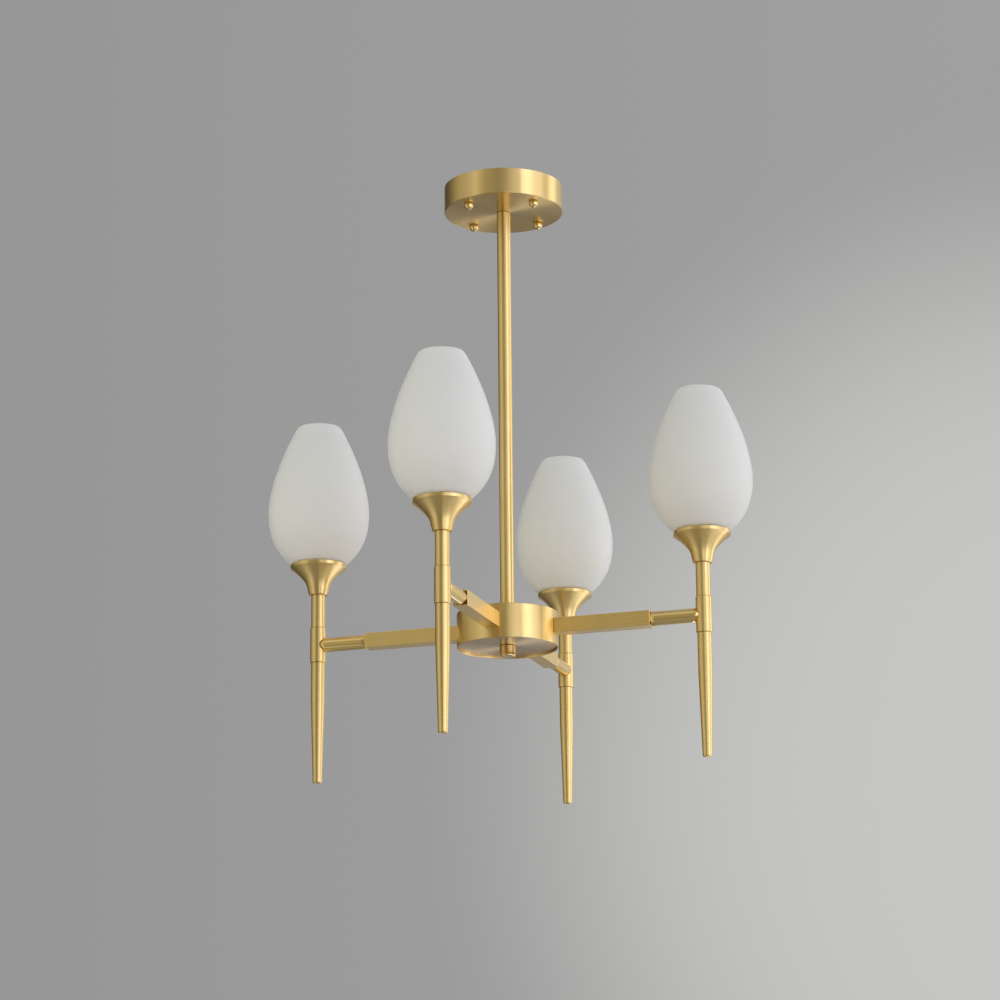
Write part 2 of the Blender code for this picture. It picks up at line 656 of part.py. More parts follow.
def build_lampholder(number, lamp, cup_wall):
    """Ceramic holder: threaded sleeve above a flange, a body in the cup and a threaded tail."""
    top = HOLDER_TOP - CUP_RIM
    flange_top = FLANGE_TOP - CUP_RIM
    flange_bottom = flange_top - HOLDER_FLANGE
    flange_radius = radius_at(cup_wall, -flange_bottom) - 2 * GAP
    tail_radius = NECK_BORE - SLIP
    tail_end = -CUP_HEIGHT - HOLDER_TAIL_IN_NECK
    socket_radius = BULB_BASE_RADIUS + SLIP
    socket_floor = top - BULB_SOCKET_DEPTH
    body = -HOLDER_BODY_DEPTH
    outline = [(0.0, socket_floor), (socket_radius, socket_floor), (socket_radius, top),
               (HOLDER_RADIUS, top), (HOLDER_RADIUS, flange_top), (flange_radius, flange_top),
               (flange_radius, flange_bottom), (HOLDER_BODY_RADIUS, flange_bottom),
               (HOLDER_BODY_RADIUS, body), (tail_radius, body), (tail_radius, tail_end),
               (HOLDER_TAIL_BORE, tail_end), (HOLDER_TAIL_BORE, body + HOLDER_FLOOR),
               (0.0, body + HOLDER_FLOOR)]
    holder = turned(f"lampholder_{number}", outline, ceramic, SMALL_STEPS)
    place(holder, parent=lamp)


def build_clamp_ring(number, lamp):
    """Threaded ring that presses the glass on the holder's flange."""
    bottom = RING_BOTTOM - CUP_RIM
    ring = tube(f"clamp_ring_{number}", RING_RADIUS, HOLDER_RADIUS + SLIP, bottom + RING_HEIGHT,
                bottom, zinc, SMALL_STEPS)
    place(ring, parent=lamp)


def build_bulb(number, lamp):
    """Capsule bulb: a narrow base in the holder's socket and a domed envelope above it."""
    bottom = BULB_BOTTOM - CUP_RIM
    shoulder = bottom + BULB_BASE_LENGTH
    dome = bottom + BULB_LENGTH - BULB_RADIUS
    outline = [(0.0, bottom + BULB_LENGTH),
               *arc((0.0, dome), BULB_RADIUS, BULB_DOME_ANGLE, 0, BULB_DOME_POINTS),
               (BULB_RADIUS, shoulder + BULB_SHOULDER), (BULB_BASE_RADIUS, shoulder),
               (BULB_BASE_RADIUS, bottom), (0.0, bottom)]
    bulb = turned(f"bulb_{number}", outline, bulb_glass, SMALL_STEPS)
    place(bulb, parent=lamp)


def shade_side(inset):
    """One side of the glass from its open top to its foot, as (radius, height) points.

    Above the widest ring the wall closes in by a power of the height; below it the wall is
    part of a flattened oval. inset moves it inwards for the inner side.
    """
    foot = -SHADE_DEPTH_IN_CUP
    belly = SHADE_RADIUS - inset
    top_radius = SHADE_TOP_RADIUS - inset
    low_radius = SHADE_FOOT_RADIUS - inset * SHADE_FOOT_INSET
    floor = foot + inset
    radius_power, height_power = SHADE_LOWER_POWERS
    points = []
    for i in range(SHADE_POINTS):
        share = 1 - i / SHADE_POINTS
        radius = belly - (belly - top_radius) * share**SHADE_UPPER_POWER
        points.append((radius, SHADE_BELLY_HEIGHT + (SHADE_HEIGHT - SHADE_BELLY_HEIGHT) * share))
    for i in range(SHADE_POINTS + 1):
        turn = math.pi / 2 * i / SHADE_POINTS
        radius = low_radius + (belly - low_radius) * math.cos(turn) ** radius_power
        height = SHADE_BELLY_HEIGHT - (SHADE_BELLY_HEIGHT - floor) * math.sin(turn) ** height_power
        points.append((radius, height))
    return points


def build_shade(number, lamp):
    """Opal glass, open at the top, with a flat foot and a round hole for the holder's sleeve."""
    outside = shade_side(0.0)
    inside = shade_side(SHADE_WALL)
    foot = -SHADE_DEPTH_IN_CUP
    outline = [*outside, (SHADE_HOLE_RADIUS, foot), (SHADE_HOLE_RADIUS, foot + SHADE_WALL)]
    outline += reversed(inside)
    shade = turned(f"glass_shade_{number}", outline, opal_glass, SHADE_STEPS, ring=True)
    place(shade, parent=lamp)


clear_scene()
pieces = new_collection("chandelier")
cutters = new_collection("cutters")
cutter_finish = finish("cutter", (0.8, 0.2, 0.2), 0.5, 0.0)
brass_brushed = finish("brushed_brass", (0.72, 0.56, 0.33), 0.32, 1.0)
brass_polished = finish("polished_brass", (0.80, 0.62, 0.34), 0.14, 1.0)
zinc = finish("zinc_plated_steel", (0.62, 0.63, 0.64), 0.35, 1.0)
nylon = finish("white_nylon", (0.85, 0.85, 0.82), 0.5, 0.0)
ceramic = finish("ceramic", (0.86, 0.84, 0.80), 0.45, 0.0)
bulb_glass = finish("frosted_bulb", (0.95, 0.90, 0.80), 0.4, 0.0)
opal_glass = finish("opal_glass", (0.86, 0.86, 0.85), 0.35, 0.0)

build_bracket()
build_earth_screw()
build_terminal_block()
build_canopy()
build_ball_nuts()
build_rod()
build_hub()
build_hub_fixings()
for arm_index in range(ARM_COUNT):
    arm_number = arm_index + 1
    arm_empty = holder_empty(f"arm_{arm_number}", (0.0, 0.0, ARM_HEIGHT), arm_index * math.pi / 2)
    build_arm(arm_number, arm_empty)
    stem_empty = holder_empty(f"stem_{arm_number}", (ARM_REACH, 0.0, 0.0), parent=arm_empty)
    build_stem(arm_number, stem_empty)
    rim = (0.0, 0.0, CUP_RIM - ARM_HEIGHT)
    lamp_empty = holder_empty(f"lamp_{arm_number}", rim, parent=stem_empty)
    cup_wall_line = build_cup(arm_number, lamp_empty)
    build_lampholder(arm_number, lamp_empty, cup_wall_line)
    build_clamp_ring(arm_number, lamp_empty)
    build_bulb(arm_number, lamp_empty)
    build_shade(arm_number, lamp_empty)
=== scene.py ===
"""Looks of the four-light ceiling chandelier: brushed brass, opal glass and the fittings inside them.

Metres, +Z up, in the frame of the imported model. The file follows the lamp as it is put together,
from the ceiling bracket down to the bulbs, and ends with the studio that it is seen in.
"""

import math

import bpy
import numpy as np
from mathutils import Matrix, Vector


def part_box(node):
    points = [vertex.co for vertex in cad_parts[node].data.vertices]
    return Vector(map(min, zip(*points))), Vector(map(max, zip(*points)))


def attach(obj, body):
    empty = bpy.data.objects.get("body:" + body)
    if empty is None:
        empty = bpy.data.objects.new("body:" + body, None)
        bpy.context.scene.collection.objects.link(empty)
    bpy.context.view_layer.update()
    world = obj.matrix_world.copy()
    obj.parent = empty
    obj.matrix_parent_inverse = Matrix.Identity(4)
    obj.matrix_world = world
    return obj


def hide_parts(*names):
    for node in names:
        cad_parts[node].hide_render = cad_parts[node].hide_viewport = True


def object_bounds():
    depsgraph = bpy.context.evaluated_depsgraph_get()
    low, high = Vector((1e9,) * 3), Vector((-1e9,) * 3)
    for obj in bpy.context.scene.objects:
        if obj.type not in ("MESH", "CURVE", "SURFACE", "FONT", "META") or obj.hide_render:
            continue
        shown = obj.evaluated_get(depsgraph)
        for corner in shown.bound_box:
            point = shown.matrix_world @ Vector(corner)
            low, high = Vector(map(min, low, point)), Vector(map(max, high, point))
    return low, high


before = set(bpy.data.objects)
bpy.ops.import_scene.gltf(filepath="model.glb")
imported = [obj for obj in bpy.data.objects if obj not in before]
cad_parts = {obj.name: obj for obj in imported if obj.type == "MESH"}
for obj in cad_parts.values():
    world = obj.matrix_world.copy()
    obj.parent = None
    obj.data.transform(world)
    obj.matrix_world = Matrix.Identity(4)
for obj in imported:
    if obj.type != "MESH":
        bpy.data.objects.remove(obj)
cad_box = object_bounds()

# ------------------------------------------------------------------------------------ viewpoint
# The lamp is seen from below and a little to one side, from three metres away with a long lens,
# as one sees a ceiling light across a room.

EYE = Vector((0.9633, -3.0408, -1.1953))
HEADING = math.radians(107.691)  # of the line of sight, from +X
PITCH = math.radians(15.189)
ROLL = math.radians(-0.518)
FOCAL_LENGTH_MM = 120.1
SENSOR_MM = 36.0


def add_camera():
    """Camera along the line of sight, with a level line to its right, both turned by the roll."""
    level_share = math.cos(PITCH)
    sight = Vector((math.cos(HEADING) * level_share, math.sin(HEADING) * level_share, math.sin(PITCH)))
    level = sight.cross(Vector((0.0, 0.0, 1.0))).normalized()
    upright = level.cross(sight)
    right = level * math.cos(ROLL) + upright * math.sin(ROLL)
    up = upright * math.cos(ROLL) - level * math.sin(ROLL)
    data = bpy.data.cameras.new("viewpoint")
    data.lens = FOCAL_LENGTH_MM
    data.sensor_width = SENSOR_MM
    camera = bpy.data.objects.new("viewpoint", data)
    turn = Matrix((right, up, -sight)).transposed().to_4x4()
    camera.matrix_world = Matrix.Translation(EYE) @ turn
    bpy.context.scene.collection.objects.link(camera)
    bpy.context.scene.camera = camera


add_camera()

# ------------------------------------------------------------------ ceiling bracket and its screw
# The steel cross is screwed to the ceiling and carries four welded studs. It is stamped from sheet
# and zinc plated, so it has a cool, faintly mottled grey that is rougher in places.

ZINC_COLOUR = (0.56, 0.57, 0.58)
ZINC_DARK = (0.42, 0.43, 0.45)
ZINC_MOTTLE_PER_METRE = 420.0
ZINC_GRAIN_PER_METRE = 2600.0
ZINC_BUMP = 0.12
ZINC_GRAIN_DEPTH = 0.0002
FINE_GRAIN_DEPTH = 0.0001  # of nylon, ceramic and etched glass


class Value:
    """A socket of a material that takes part in arithmetic. Each operation adds one Math node."""

    def __init__(self, finish, socket):
        self.finish = finish
        self.socket = socket

    def math(self, operation, *others):
        numbers = dict(enumerate((self, *others)))
        return self.finish.node("ShaderNodeMath", {"operation": operation}, numbers)

    def __add__(self, other):
        return self.math("ADD", other)

    def __sub__(self, other):
        return self.math("SUBTRACT", other)

    def __mul__(self, other):
        return self.math("MULTIPLY", other)


class Finish:
    """The nodes of one material or world, added one by one."""

    def __init__(self, owner):
        owner.use_nodes = True
        self.tree = owner.node_tree

    def node(self, kind, settings=None, sockets=None, output=0):
        """Add a node: its settings first, with a ramp's stops as (place, colour), then its sockets."""
        added = self.tree.nodes.new(kind)
        for name, setting in (settings or {}).items():
            if name == "stops":
                added.color_ramp.interpolation = "EASE"
                while len(added.color_ramp.elements) < len(setting):
                    added.color_ramp.elements.new(1.0)
                for element, (place, colour) in zip(added.color_ramp.elements, setting):
                    element.position = place
                    element.color = (*colour, 1.0)
            else:
                setattr(added, name, setting)
        self.fill(added, sockets or {})
        return Value(self, added.outputs[output])

    def fill(self, node, sockets):
        """Link or set a node's sockets, named or numbered."""
        for name, value in sockets.items():
            if isinstance(value, Value):
                self.tree.links.new(value.socket, node.inputs[name])
            else:
                node.inputs[name].default_value = value

    def mix(self, share, first, second):
        """Blend of two colours."""
        pair = [(*c, 1.0) if isinstance(c, tuple) else c for c in (first, second)]
        return self.node("ShaderNodeMix", {"data_type": "RGBA"}, {0: share, 6: pair[0], 7: pair[1]}, 2)

    def noise(self, place, scale, detail=2.0):
        """Noise around 0.5 at a place."""
        return self.node("ShaderNodeTexNoise", None, {"Vector": place, "Scale": scale, "Detail": detail})

    def spread(self, value, low, high, to_low, to_high):
        """Carry a value from one range to another, held within it."""
        numbers = {"Value": value, "From Min": low, "From Max": high, "To Min": to_low, "To Max": to_high}
        return self.node("ShaderNodeMapRange", None, numbers)

    def place(self):
        """Place on the object, in metres."""
        return self.node("ShaderNodeTexCoord", output="Object")

    def bump(self, height, strength, distance):
        """Normal of a surface that rises by a height map."""
        numbers = {"Height": height, "Strength": strength, "Distance": distance}
        return self.node("ShaderNodeBump", None, numbers)


def new_finish(name, **constants):
    """A material, the builder of its nodes, and its shader with the given constants set.

    A constant is named as its socket is, in lower case and with underscores for spaces.
    """
    material = bpy.data.materials.new(name)
    finish = Finish(material)
    shader = finish.tree.nodes["Principled BSDF"]
    for key, value in constants.items():
        socket = key.replace("_", " ").title().replace("Ior", "IOR")
        shader.inputs[socket].default_value = value
    return material, finish, shader


def make_zinc():
    """Zinc plating: a mottle of two greys, with a grain that makes it rougher in places."""
    material, finish, shader = new_finish("zinc_plated_steel", metallic=1.0)
    place = finish.place()
    mottle = finish.noise(place, ZINC_MOTTLE_PER_METRE)
    grain = finish.noise(place, ZINC_GRAIN_PER_METRE)
    finish.fill(shader, {
        "Base Color": finish.mix(finish.spread(mottle, 0.35, 0.65, 0.0, 1.0), ZINC_DARK, ZINC_COLOUR),
        "Roughness": finish.spread(mottle + grain * 0.5, 0.5, 1.0, 0.30, 0.46),
        "Normal": finish.bump(grain, ZINC_BUMP, ZINC_GRAIN_DEPTH),
    })
    return material


zinc = make_zinc()


def finish_piece(obj, body, slot, material, *nodes):
    """Give a new piece its material and body, in place of the named nodes. The slot is not used."""
    obj.data.materials.append(material)
    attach(obj, body)
    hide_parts(*nodes)
    return obj


def keep_node(name, material):
    """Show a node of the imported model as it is, in a new material."""
    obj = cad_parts[name]
    obj.data.materials.clear()
    obj.data.materials.append(material)


keep_node("ceiling_bracket", zinc)

# ------------------------------------------------------------------------------- turned sections
# Nearly every brass piece is turned on a lathe: a section with small rounded edges, swept round
# an upright axis. These are the shapes that the canopy and all later turned pieces start from.

EDGE_STEPS = 5
EDGE_SUPPORT = 0.0004
ROUND_SIDES = 96


def rounded_section(corners, closed=False):
    """Section in the (radius, height) plane with a rounded edge at each corner.

    A corner is (radius, height, edge). Its edge becomes an arc that touches both straight runs:
    with d the half turn between the runs, the arc starts edge * tan(d) before the corner. A point
    close to each end of the arc keeps the run beyond it flat when it is shaded smooth.
    """
    corners = np.array(corners, float)
    points = corners[:, :2]
    before = np.roll(points, 1, 0) - points
    after = np.roll(points, -1, 0) - points
    section = []
    for i, (corner, back, ahead, edge) in enumerate(zip(points, before, after, corners[:, 2])):
        ends = not closed and i in (0, len(points) - 1)
        if edge == 0 or ends:
            section.append(corner[None])
            continue
        reach_back, reach_ahead = np.linalg.norm(back), np.linalg.norm(ahead)
        back, ahead = back / reach_back, ahead / reach_ahead
        opening = np.arccos(np.clip(back @ ahead, -1, 1))
        cut = edge / math.tan(opening / 2)
        middle = (back + ahead) / np.linalg.norm(back + ahead)
        centre = corner + middle * edge / math.sin(opening / 2)
        start = corner + back * cut - centre
        end = corner + ahead * cut - centre
        share = np.linspace(0, 1, EDGE_STEPS + 1)[:, None]
        swing = math.pi - opening
        arc = centre + (np.sin((1 - share) * swing) * start + np.sin(share * swing) * end) / math.sin(swing)
        support_back = min(EDGE_SUPPORT, (reach_back - cut) / 4)
        support_ahead = min(EDGE_SUPPORT, (reach_ahead - cut) / 4)
        section.append((corner + back * (cut + support_back))[None])
        section.append(arc)
        section.append((corner + ahead * (cut + support_ahead))[None])
    return np.concatenate(section)


def mesh_object(name, points, faces, uv):
    """An object from arrays: faces of four corners, where a corner that repeats makes a triangle.

    uv has a pair for each corner of each face, in the same order.
    """
    repeats = faces == np.roll(faces, -1, 1)
    mesh = bpy.data.meshes.new(name)
    kept = [face[~repeat].tolist() for face, repeat in zip(faces, repeats)]
    mesh.from_pydata(points.tolist(), [], kept)
    layer = mesh.uv_layers.new(name="surface")
    layer.data.foreach_set("uv", uv[~repeats].astype(np.float32).ravel())
    mesh.shade_smooth()
    obj = bpy.data.objects.new(name, mesh)
    bpy.context.scene.collection.objects.link(obj)
    return obj


def turned(name, section, centre=(0.0, 0.0), closed=False, sides=ROUND_SIDES):
    """Turn a section about an upright line.

    Point (i, j) is the centre plus radius_i times (cos, sin) of turn_j, at height_i. The section
    runs down the outer side; a closed one comes back up the inner side. U is the share of a turn
    and V the length along the section in metres. A point on the axis closes the surface.
    """
    radius, height = section.T
    on_axis = radius < 1e-9
    turn = np.linspace(0, 2 * math.pi, sides, endpoint=False)
    grid = np.stack([
        centre[0] + radius[:, None] * np.cos(turn),
        centre[1] + radius[:, None] * np.sin(turn),
        np.repeat(height[:, None], sides, 1),
    ], -1)
    single = on_axis[:, None] & (np.arange(sides) > 0)
    counts = np.where(on_axis, 1, sides)
    first = np.concatenate([[0], np.cumsum(counts)[:-1]])
    index = first[:, None] + np.where(on_axis[:, None], 0, np.arange(sides))
    length = np.concatenate([[0], np.cumsum(np.linalg.norm(np.diff(section, axis=0), axis=1))])
    rows = np.arange(len(section) if closed else len(section) - 1)
    below = (rows + 1) % len(section)
    ahead = np.roll(index, -1, 1)
    faces = np.stack([index[rows], index[below], ahead[below], ahead[rows]], -1).reshape(-1, 4)
    last = length[-1] + np.linalg.norm(section[-1] - section[0])
    v_low = np.repeat(length[rows][:, None], sides, 1)
    v_high = np.repeat(np.where(below == 0, last, length[below])[:, None], sides, 1)
    u_here = np.broadcast_to(np.arange(sides) / sides, v_low.shape)
    u_next = u_here + 1 / sides
    uv = np.stack([
        np.stack([u_here, v_low], -1), np.stack([u_here, v_high], -1),
        np.stack([u_next, v_high], -1), np.stack([u_next, v_low], -1),
    ], 2).reshape(-1, 4, 2)
    return mesh_object(name, grid[~single], faces, uv)


# ------------------------------------------------------------------------------ brass finishes
# All the turned brass is brushed round and round on the lathe and then lacquered. The brushing
# spreads reflections across the marks, so bands run straight up the walls and fan out on the
# flat ends. The bars and tubes of the arms are brushed along their length instead.

BRASS_COLOUR = (0.90, 0.665, 0.275)
BRASS_SHADE = (0.86, 0.615, 0.235)
# The canopy's brass is darker than the rest of the brass: painted shade, for the canopy close under the
# ceiling.
CANOPY_PAINTED_SHADE_COLOUR = (0.81, 0.59, 0.245)
CANOPY_PAINTED_SHADE_DARK_TONE = (0.77, 0.545, 0.21)
POLISHED_COLOUR = (0.88, 0.66, 0.30)
POLISHED_SHADE = (0.80, 0.57, 0.24)
BRASS_ROUGHNESS = 0.38
CANOPY_ROUGHNESS = 0.31
BAR_ROUGHNESS = 0.30
TUBE_ROUGHNESS = 0.20
BRUSHING = 0.93  # how much wider a reflection is across the marks than along them, from 0 to 1
ACROSS_THE_MARKS = 0.25
MARKS_PER_METRE = 3200.0
MARKS_ROUND = 2.2
LONG_MARKS_PER_METRE = 12.0
MARK_LAYERS = 3.0
MARK_DEPTH = 0.00001
MARK_BUMP = 0.2  # for a roughness of 1
MARK_ROUGHNESS = 0.03
CLOUDS_PER_METRE = 28.0
LACQUER = 0.25
LACQUER_ROUGHNESS = 0.18
HANDLING_PER_METRE = 400.0


def brush_marks(finish):
    """Noise that is long round the turned piece and fine along its section."""
    around, along = surface_uv(finish)
    angle = around * (2 * math.pi)
    numbers = {
        "X": angle.math("COSINE") * MARKS_ROUND,
        "Y": angle.math("SINE") * MARKS_ROUND,
        "Z": along * MARKS_PER_METRE,
    }
    return finish.noise(finish.node("ShaderNodeCombineXYZ", None, numbers), 1.0, MARK_LAYERS)


def surface_uv(finish):
    """U and V of the piece: round it and along its section, or round it and along its length."""
    uv = finish.node("ShaderNodeUVMap", {"uv_map": "surface"})
    split = finish.node("ShaderNodeSeparateXYZ", None, {"Vector": uv})
    return split, Value(finish, split.socket.node.outputs["Y"])


def make_brushed_brass(name, colour, shade, roughness, anisotropy, marks_of):
    """Brass with brush marks: darker and rougher in the marks, with slow clouds of tone."""
    material, finish, shader = new_finish(name, metallic=1.0, anisotropic=anisotropy,
                                          anisotropic_rotation=ACROSS_THE_MARKS, coat_weight=LACQUER,
                                          coat_roughness=LACQUER_ROUGHNESS)
    marks = marks_of(finish)
    clouds = finish.noise(finish.place(), CLOUDS_PER_METRE)
    tone = finish.spread(marks * 0.4 + clouds * 0.6, 0.35, 0.65, 0.0, 1.0)
    finish.fill(shader, {
        "Base Color": finish.mix(tone, shade, colour),
        "Roughness": finish.spread(marks, 0.3, 0.7, roughness - MARK_ROUGHNESS, roughness + MARK_ROUGHNESS),
        "Normal": finish.bump(marks, roughness * MARK_BUMP, MARK_DEPTH),
    })
    return material


def lengthwise_marks(finish):
    """Noise that is long along V and fine across it, for a bar or tube brushed along its length."""
    across, along = surface_uv(finish)
    numbers = {"X": across * MARKS_PER_METRE, "Y": along * LONG_MARKS_PER_METRE}
    return finish.noise(finish.node("ShaderNodeCombineXYZ", None, numbers), 1.0, MARK_LAYERS)


turned_brass = make_brushed_brass("brushed_brass_turned", BRASS_COLOUR, BRASS_SHADE, BRASS_ROUGHNESS,
                                  BRUSHING, brush_marks)
# The canopy's darker brass is painted shade.
canopy_brass_painted_shade = make_brushed_brass("brushed_brass_canopy_painted_shade", CANOPY_PAINTED_SHADE_COLOUR, CANOPY_PAINTED_SHADE_DARK_TONE, CANOPY_ROUGHNESS,
                                  BRUSHING, brush_marks)
drawn_brass = make_brushed_brass("brushed_brass_drawn", BRASS_COLOUR, BRASS_SHADE, BAR_ROUGHNESS,
                                 0.0, lengthwise_marks)
tube_brass = make_brushed_brass("brushed_brass_tube", BRASS_COLOUR, BRASS_SHADE, TUBE_ROUGHNESS,
                                0.0, lengthwise_marks)


def make_polished_brass():
    """Buffed brass, with the faint cloudiness that fingers leave."""
    material, finish, shader = new_finish("polished_brass", metallic=1.0)
    clouds = finish.noise(finish.place(), HANDLING_PER_METRE)
    finish.fill(shader, {
        "Base Color": finish.mix(clouds, POLISHED_SHADE, POLISHED_COLOUR),
        "Roughness": finish.spread(clouds, 0.3, 0.7, 0.04, 0.10),
    })
    return material


polished_brass = make_polished_brass()

# ---------------------------------------------------------------------------------------- canopy
# The canopy is a spun brass drum, open to the ceiling, with a small bright bevel where its wall
# meets its floor. Four ball nuts on the bracket's studs clamp it.

CANOPY_BEVEL = 0.0011
CANOPY_WALL = 0.0012
NIPPLE_HOLE = 0.0053
CUT_EDGE = 0.0002
HOLE_EDGE = 0.0001
DRUM_SIDES = 160


def reach_of(node):
    """Radius, lowest and highest point of a node turned about the lamp's axis."""
    low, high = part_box(node)
    return (high.x - low.x) / 2, low.z, high.z


radius, bottom, top = reach_of("canopy")
canopy = turned("canopy_drum", rounded_section([
    (radius, top, CUT_EDGE), (radius, bottom, CANOPY_BEVEL), (NIPPLE_HOLE, bottom, HOLE_EDGE),
    (NIPPLE_HOLE, bottom + CANOPY_WALL, HOLE_EDGE),
    (radius - CANOPY_WALL, bottom + CANOPY_WALL, CANOPY_BEVEL), (radius - CANOPY_WALL, top, CUT_EDGE),
], closed=True), closed=True, sides=DRUM_SIDES)
finish_piece(canopy, "fixed_frame", "brushed_brass", canopy_brass_painted_shade, "canopy")

# The terminal block and the earth screw are fixed to the bracket, inside the canopy.

NYLON_COLOUR = (0.85, 0.84, 0.79)
NYLON_TINT = (0.80, 0.79, 0.73)
NYLON_CLOUDS_PER_METRE = 150.0
NYLON_GRAIN_PER_METRE = 2400.0
NYLON_BUMP = 0.08


def make_nylon():
    """Moulded nylon of the terminal block: off-white, slightly waxy, with a fine grain."""
    material, finish, shader = new_finish("nylon", subsurface_weight=0.2, subsurface_scale=0.001)
    clouds = finish.noise(finish.place(), NYLON_CLOUDS_PER_METRE)
    grain = finish.noise(finish.place(), NYLON_GRAIN_PER_METRE)
    finish.fill(shader, {
        "Base Color": finish.mix(clouds, NYLON_TINT, NYLON_COLOUR),
        "Roughness": finish.spread(grain, 0.3, 0.7, 0.42, 0.55),
        "Normal": finish.bump(grain, NYLON_BUMP, FINE_GRAIN_DEPTH),
    })
    return material


keep_node("terminal_block", make_nylon())
keep_node("earth_screw", polished_brass)

# Each ball nut is a polished ball, cut flat where it meets the canopy, that screws on its stud.

QUARTERS = range(1, 5)  # nuts, arms and lamps are numbered round the axis
BALL_FACE_INSET = 0.0003
BALL_POINTS = 24
BALL_SIDES = 48


def ball_section(radius, top, bottom):
    """Flat face, then the arc of the ball down to its pole."""
    centre = bottom + radius
    angle = np.linspace(math.asin((top - centre) / radius), -math.pi / 2, BALL_POINTS)
    ball = np.stack([radius * np.cos(angle), centre + radius * np.sin(angle)], 1)
    ball[-1, 0] = 0.0
    return np.concatenate([[(0.0, top), (ball[0, 0] - BALL_FACE_INSET, top)], ball])


for number in QUARTERS:
    low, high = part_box(f"ball_nut_{number}")
    middle = (low + high) / 2
    section = ball_section((high.x - low.x) / 2, high.z, low.z)
    nut = turned(f"ball_nut_turned_{number}", section, middle.xy, sides=BALL_SIDES)
    finish_piece(nut, f"nut_{number}", "polished_brass", polished_brass, f"ball_nut_{number}")

# ----------------------------------------------------------------------------------- hanging rod
# A plain brass tube hangs from the canopy. A threaded steel nipple inside each end joins it to
# the canopy and to the hub.

ROD_BORE = NIPPLE_HOLE
SLIM_SIDES = 64

for node in ("rod_nipple", "rod_nut", "hub_nipple", "hub_lock_nut"):
    keep_node(node, zinc)

radius, bottom, top = reach_of("hanging_rod")
rod = turned("hanging_rod_tube", rounded_section([
    (radius, top, CUT_EDGE), (radius, bottom, CUT_EDGE),
    (ROD_BORE, bottom, CUT_EDGE), (ROD_BORE, top, CUT_EDGE),
], closed=True), closed=True, sides=SLIM_SIDES)
finish_piece(rod, "fixed_frame", "brushed_brass", turned_brass, "hanging_rod")

# ------------------------------------------------------------------------------------------- hub
# The hub is a second brass drum, open below. A disc recessed in its mouth covers the wires, and a
# polished finial nut on the nipple's end holds the disc up.

HUB_BEVEL = 0.0008
HUB_WALL = 0.0015
COVER_EDGE = 0.0003
FINIAL_BEVEL = 0.0008
COVER_ROUGHNESS = 0.28
# The cover's brass is darker and rosier than the rest of the brass: painted shade in the hub's mouth.
COVER_PAINTED_SHADE_COLOUR = (0.80, 0.60, 0.34)
COVER_PAINTED_SHADE_DARK_TONE = (0.70, 0.50, 0.27)

radius, bottom, top = reach_of("hub_shell")
hub = turned("hub_drum", rounded_section([
    (NIPPLE_HOLE, top, HOLE_EDGE), (radius, top, HUB_BEVEL), (radius, bottom, HUB_BEVEL / 2),
    (radius - HUB_WALL, bottom, HUB_BEVEL / 2), (radius - HUB_WALL, top - HUB_WALL, HUB_BEVEL),
    (NIPPLE_HOLE, top - HUB_WALL, HOLE_EDGE),
], closed=True), closed=True, sides=DRUM_SIDES)
finish_piece(hub, "fixed_frame", "brushed_brass", turned_brass, "hub_shell")

# The cover's darker brass is painted shade.
cover_brass_painted_shade = make_brushed_brass("brushed_brass_cover_painted_shade", COVER_PAINTED_SHADE_COLOUR, COVER_PAINTED_SHADE_DARK_TONE, COVER_ROUGHNESS,
                                 BRUSHING, brush_marks)
radius, bottom, top = reach_of("hub_cover")
cover = turned("hub_cover_disc", rounded_section([
    (radius, top, COVER_EDGE), (radius, bottom, COVER_EDGE), (NIPPLE_HOLE, bottom, HOLE_EDGE),
    (NIPPLE_HOLE, top, HOLE_EDGE),
], closed=True), closed=True, sides=DRUM_SIDES)
finish_piece(cover, "cover", "brushed_brass", cover_brass_painted_shade, "hub_cover")

radius, bottom, top = reach_of("finial_nut")
finial = turned("finial_nut_turned", rounded_section([
    (0.0, top, 0.0), (radius, top, COVER_EDGE), (radius, bottom, FINIAL_BEVEL), (0.0, bottom, 0.0),
]), sides=SLIM_SIDES)
finish_piece(finial, "finial", "polished_brass", polished_brass, "finial_nut")

# ------------------------------------------------------------------------------------------ arms
# Each arm is a square brass bar that is nutted to the inside of the hub's wall, and a round tube
# that plugs into the bar's end and is soldered into the side of the stem's tee sleeve. The bar's
# end is recessed behind a thin wall, so there is a dark hole in each corner beside the tube.

BAR_EDGE = 0.0005
BAR_WALL = 0.0009
BAR_POCKET = 0.004
BAR_HUB_GAP = 0.0002
TUBE_EDGE = 0.0003
TUBE_STATIONS = 12
TUBE_SIDES = 48
SQUARE_STEPS = 4

hub_radius = reach_of("hub_shell")[0]


